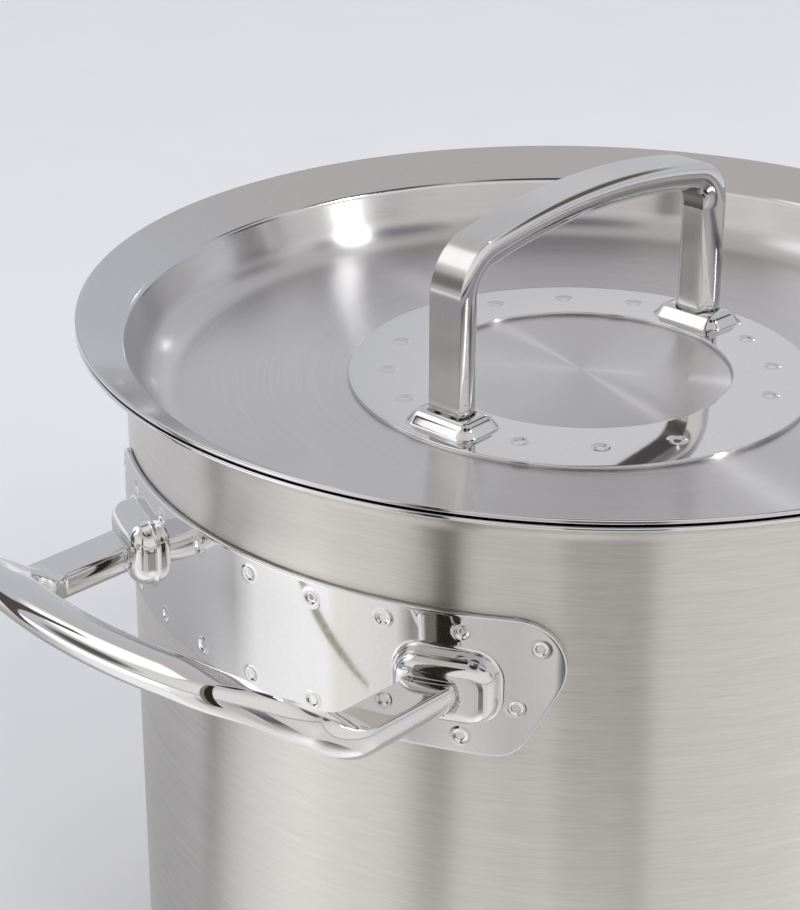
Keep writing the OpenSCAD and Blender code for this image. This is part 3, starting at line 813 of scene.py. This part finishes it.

# %% [markdown]
# The lid handle's faces are told apart by their place round the section: the flat outside, the flat
# inside, and the round edges between them. The inside gets the painted shade only below the arch.
# The aluminium disc keeps its measured solid and gets its finish alone.

# %% Finishes of the lid handle and the disc
arch_drop = 22.0
middle = turns + (np.roll(turns, -1) - turns) % (2 * math.pi) / 2
on_arch = (centre[:-1, 1] > centre[:, 1].max() - arch_drop)[:, None]
outside, inside = np.sin(middle) > top_sin, np.sin(middle) < -bottom_sin
# Painted shade: the flat inside below the arch gets the dark finish, number 2.
flats = np.where(outside, 1, 0) + np.where(inside, np.where(on_arch, 2, 1), 0)
end_faces = len(lid_handle.data.polygons) - (len(centre) - 1) * len(turns)
give_finish(lid_handle, np.concatenate([flats.ravel(), np.zeros(end_faces, int)]))
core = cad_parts["base_core"]
core.data.materials.clear()
core.data.materials.append(aluminium)

# %% [markdown]
# Each dressed piece now stands in for the measured solid of its node. All of them belong to one
# body, because the lid only rests on the rim.

# %% Pieces take their places
for obj, node in ((body, "pot_body"), (base_cap, "base_cap"), (lid, "lid"), (ring, "lid_ring"),
                  (lid_handle, "lid_handle"), (plate_left, "handle_plate_left"),
                  (plate_right, "handle_plate_right"), (grip_left, "side_handle_left"),
                  (grip_right, "side_handle_right")):
    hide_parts(node)
    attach(obj, "root")
    print(obj.name, "stands for", node)

# %% [markdown]
# The floor is a wide pale sheet of paper. It fills the whole background, and it is also most of
# what the upright steel mirrors. Its colour is painted a little lighter towards the back: painted
# light.

# %% Floor
floor_half = 6.0
floor_mesh = bpy.data.meshes.new("floor")
floor_mesh.from_pydata([(-floor_half, -floor_half, 0), (floor_half, -floor_half, 0),
                        (floor_half, floor_half, 0), (-floor_half, floor_half, 0)],
                       [], [(0, 1, 2, 3)])
floor = bpy.data.objects.new("floor", floor_mesh)
bpy.context.scene.collection.objects.link(floor)
paper, add = material("pale_paper")
grain = add("TexNoise", Vector=add("TexCoord", out=3), Scale=14.0, Detail=2.0)
# Painted light: the paper's colour grows lighter towards the back, in place of more light falling
# there.
back = add("VectorMath", out=1, set_operation="DOT_PRODUCT", in_0=add("TexCoord", out=3),
           in_1=(0.7071, 0.7071, 0))
painted_back_light = add("MapRange", set_interpolation_type="SMOOTHSTEP", Value=back,
           From_Min=-0.1, From_Max=0.32, To_Min=0.96, To_Max=1.03)
shade = add("Math", set_operation="MULTIPLY_ADD", in_0=grain, in_1=0.04, in_2=painted_back_light)
tint = add("VectorMath", set_operation="SCALE", in_0=(0.805, 0.82, 0.86), Scale=shade)
add("OutputMaterial", Surface=add("BsdfPrincipled", Base_Color=tint, Roughness=0.9,
                                  Specular_IOR_Level=0.1))
floor_mesh.materials.append(paper)
print("floor:", 2 * floor_half, "metres wide")

# %% [markdown]
# Steel shows the whole room, so the room is painted as a set of soft round patches. It is grey
# and cool at the back, bright and warm behind the camera, and dimmer overhead. One white patch at
# the left and a few dark ones give the bends their crisp bright and dark lines.

# %% Room light
world = bpy.data.worlds.new("studio")
bpy.context.scene.world = world
world.use_nodes = True
tree = world.node_tree
tree.nodes.clear()


def world_node(kind, *values, **settings):
    """One node of the room, its inputs set or linked in their order."""
    node = tree.nodes.new("ShaderNode" + kind)
    for key, value in settings.items():
        setattr(node, key, value)
    for target, value in zip(node.inputs, values):
        if hasattr(value, "links"):
            tree.links.new(value, target)
        else:
            target.default_value = value
    return node.outputs


def toward(azimuth, elevation):
    """The direction of an azimuth and an elevation in degrees, as a vector of length 1."""
    a, e = math.radians(azimuth), math.radians(elevation)
    return (math.cos(e) * math.cos(a), math.cos(e) * math.sin(a), math.sin(e))


def nearness(azimuth, elevation, inner, outer):
    """1 within inner degrees of a direction, 0 beyond outer degrees, smooth between them."""
    direction = toward(azimuth, elevation)
    level = world_node("VectorMath", looking, direction, operation="DOT_PRODUCT")[1]
    low, high = math.cos(math.radians(outer)), math.cos(math.radians(inner))
    return world_node("MapRange", level, low, high, 0.0, 1.0, interpolation_type="SMOOTHSTEP")[0]


def blended(share, first, second):
    """A mix of two colours, each of them plain numbers or the output of a node."""
    node = tree.nodes.new("ShaderNodeMix")
    node.data_type = "RGBA"
    tree.links.new(share, node.inputs["Factor"])
    for name, value in (("A", first), ("B", second)):
        target = [i for i in node.inputs if i.name == name and i.type == "RGBA"][0]
        if hasattr(value, "links"):
            tree.links.new(value, target)
        else:
            target.default_value = (*value, 1)
    return [o for o in node.outputs if o.type == "RGBA"][0]


looking = world_node("TexCoord")[0]
room = (0.61, 0.62, 0.655)
patches = {"behind the camera": (223, 10, 50, 110, (0.92, 0.90, 0.87)),
           "overhead": (45, 90, 30, 60, (0.60, 0.58, 0.57)),
           "pale spot at the back": (36, 24, 3, 11, (0.73, 0.725, 0.745)),
           "dark, low at the left": (140, 10, 6, 15, (0.13, 0.12, 0.11)),
           "white, high at the left": (124, 44, 15, 22, (1.4, 1.4, 1.4)),
           "dark, high above the camera": (234, 71, 12, 17, (0.03, 0.035, 0.07)),
           "dark, high at the right": (-62, 52, 12, 17, (0.04, 0.045, 0.08)),
           "dark, at the back right": (-22, 38, 5, 9, (0.10, 0.095, 0.09)),
           "dark, low at the right": (-42, 15, 6, 12, (0.13, 0.12, 0.105))}
for azimuth, elevation, inner, outer, colour in patches.values():
    room = blended(nearness(azimuth, elevation, inner, outer), room, colour)
background = world_node("Background", room, 1.0)[0]
world_node("OutputWorld", background)
print("patches of the room:", "; ".join(patches))

# %% [markdown]
# A small lamp behind the pot and a narrow one at its right draw the streaks of the lid. The large
# soft box at the right of the camera and the wide lamp overhead light the pot and the paper. The
# metal doesn't mirror those two, because their outlines would show.

# %% Lamps
lamps_face = (0, 0, 0.19)


def softbox(name, azimuth, elevation, distance, width, height, power):
    """A rectangular lamp at an azimuth and elevation in degrees from the point that it faces."""
    back = np.array(toward(azimuth, elevation))
    lamp = bpy.data.objects.new(name, bpy.data.lights.new(name, "AREA"))
    bpy.context.scene.collection.objects.link(lamp)
    lamp.data.shape, lamp.data.size, lamp.data.size_y = "RECTANGLE", width, height
    lamp.data.energy = power
    right = unit(np.cross([0, 0, 1], back))
    turned = Matrix((right, np.cross(back, right), back)).transposed().to_4x4()
    lamp.matrix_world = Matrix.Translation(back * distance + lamps_face) @ turned
    print(f"{name}: {power} watts, {distance} metres away")
    return lamp


softbox("back_lamp", 25, 22, 1.5, 0.02, 0.04, 0.08)
softbox("front_lamp", 300, 42, 1.3, 0.03, 0.15, 6.0).visible_diffuse = False
softbox("key_box", 262, 48, 1.3, 0.7, 0.7, 5).visible_glossy = False
softbox("paper_lamp", 30, 80, 2.4, 2.0, 2.0, 13).visible_glossy = False

# %% [markdown]
# Upright steel mirrors what lies and stands on the table beside it. Here that reflection is
# painted: glowing boards out of the picture give the body its soft bands, white at its left, darker
# below the camera, and dark stands between. Only the metal sees them, and they light nothing. A ray
# from the camera leaves the wall towards an azimuth that turns about twice as fast as the wall, so
# each board is placed along such rays.

# %% Glowing boards round the pot, a painted reflection
def on_ray(ray_az, distance, z):
    """The point in metres that a ray leaving the wall towards ray_az passes after a distance. The
    ray starts where the wall faces the azimuth 0.452 ray_az + 119.9."""
    a, wall = np.radians(ray_az), np.radians(0.452 * ray_az + 119.9)
    x = body_r * np.cos(wall) + distance * np.cos(a)
    y = body_r * np.sin(wall) + distance * np.sin(a)
    return np.stack(np.broadcast_arrays(x, y, z), -1) / 1000


# Painted reflection: the boards glow with a colour that stands in for the lit table that the metal
# mirrors.
painted_reflection_glow, add = material("painted_reflection_glow")
shade = add("Attribute", set_attribute_name="shade")
add("OutputMaterial", Surface=add("Emission", Color=shade, Strength=1.0))


def board(name, rows, colours):
    """A glowing board through rows of points, its glow painted point by point: a painted reflection
    that shows only in the metal.
    """
    points = np.array(rows)
    m, n = points.shape[:2]
    faces = open_faces(np.arange(m * n).reshape(m, n))
    mesh = bpy.data.meshes.new(name)
    mesh.from_pydata(points.reshape(-1, 3), [], faces.tolist())
    shade = np.ones((m, n, 4))
    shade[..., :3] = colours
    paint = mesh.attributes.new("shade", "FLOAT_COLOR", "POINT")
    paint.data.foreach_set("color", shade.ravel())
    obj = bpy.data.objects.new(name, mesh)
    bpy.context.scene.collection.objects.link(obj)
    obj.visible_camera = obj.visible_diffuse = obj.visible_shadow = False
    mesh.materials.append(painted_reflection_glow)
    print(f"{name}: {len(faces)} faces")


print("a ray towards azimuth 220 passes", on_ray(220, 300, 0).round(3), "after 0.3 metres")

# %% [markdown]
# The painted reflection of the table is one glowing fan round the pot. Each row of the first table
# is a ray's azimuth, and how brightly the fan glows along that ray at four distances from the wall.
# The second table tints it: bluish where it starts and yellowish further round.

# %% Glowing fan of painted reflection
bright_at = (60, 170, 320, 700)
ray_az, *levels = np.array([
    [50, .46, .40, .50, .90], [105, .46, .40, .53, 1.05], [116, .58, .52, .56, 1.2],
    [121, .80, .76, .56, 1.3], [127, 1.0, 1.0, .50, 1.4], [135, 1.12, 1.10, .98, 1.65],
    [150, 1.12, 1.10, 1.13, 1.8], [157, 1.12, 1.10, 1.15, 1.6], [160, 1.0, .95, .98, 1.1],
    [176, .95, .88, .86, 1.0], [180, .90, .82, .32, .90], [192, 1.1, .86, .66, .75],
    [205, 1.1, .60, .62, .55], [215.5, 1.25, .60, .72, .50], [217, 1.3, .55, .14, .28],
    [237.5, 1.2, .44, .14, .26], [239.5, .90, .78, .78, .76], [250, .90, .84, .80, .78],
    [275, .98, .96, .90, .84], [310, .80, .80, .80, .76]]).T
tint_az, *tints = np.array([
    [50, 1.0, 1.0, 1.05], [118, 1.0, 1.0, 1.03], [131, 1.0, 1.0, 1.0], [157, 1.0, 1.0, 1.0],
    [160, 1.01, 1.0, 0.955], [180, 1.0, 0.99, 0.975], [310, 1.0, 0.99, 0.98]]).T
turn, away = np.linspace(50, 310, 521), np.array([2, 60, 110, 170, 240, 320, 390, 700, 1500])
along_rays = np.array([np.interp(turn, ray_az, level) for level in levels])
shares = np.array([np.interp(away, bright_at, one) for one in np.eye(len(bright_at))])
bright = shares.T @ along_rays
tint = np.stack([np.interp(turn, tint_az, row) for row in tints], 1)
board("painted_reflection_fan", [on_ray(turn, d, 1) for d in away], bright[..., None] * tint)

# %% [markdown]
# A thin olive strip on the table at the left and three upright boards between the fan's bands are
# painted reflections too: two dark stands and the lighter side of the second one, all glowing
# boards that only the metal sees.

# %% Strip and stands, painted reflections
strip_line = np.array([(-0.412, 0.159), (-0.411, 0.142), (-0.404, 0.121), (-0.397, 0.093),
                       (-0.388, 0.055), (-0.378, 0.018)])
strip_half = np.array([2, 4.5, 5.5, 5, 3.5, 1.5])[:, None] / 1000 * [1, 0]
strip_z = np.full((len(strip_line), 1), 0.003)
board("painted_reflection_strip", [np.append(strip_line + side * strip_half, strip_z, 1) for side in (-1, 1)],
      (0.36, 0.355, 0.29))


def stand(name, first_az, last_az, distance, colour, height=500):
    """An upright glowing board between two rays, a painted reflection."""
    turn = np.linspace(first_az, last_az, 9)
    board(name, [on_ray(turn, distance, 0), on_ray(turn, distance, height)], colour)


stand("painted_dark_reflection_left", 120.5, 127.0, 372, (0.10, 0.085, 0.075))
stand("painted_dark_reflection_middle", 186.4, 192.5, 300, (0.03, 0.025, 0.02))
stand("painted_reflection_middle_side", 183.2, 186.4, 300, (0.25, 0.24, 0.22))

# %% [markdown]
# At the end the scene is brought up to date.

# %% The end
bpy.context.view_layer.update()
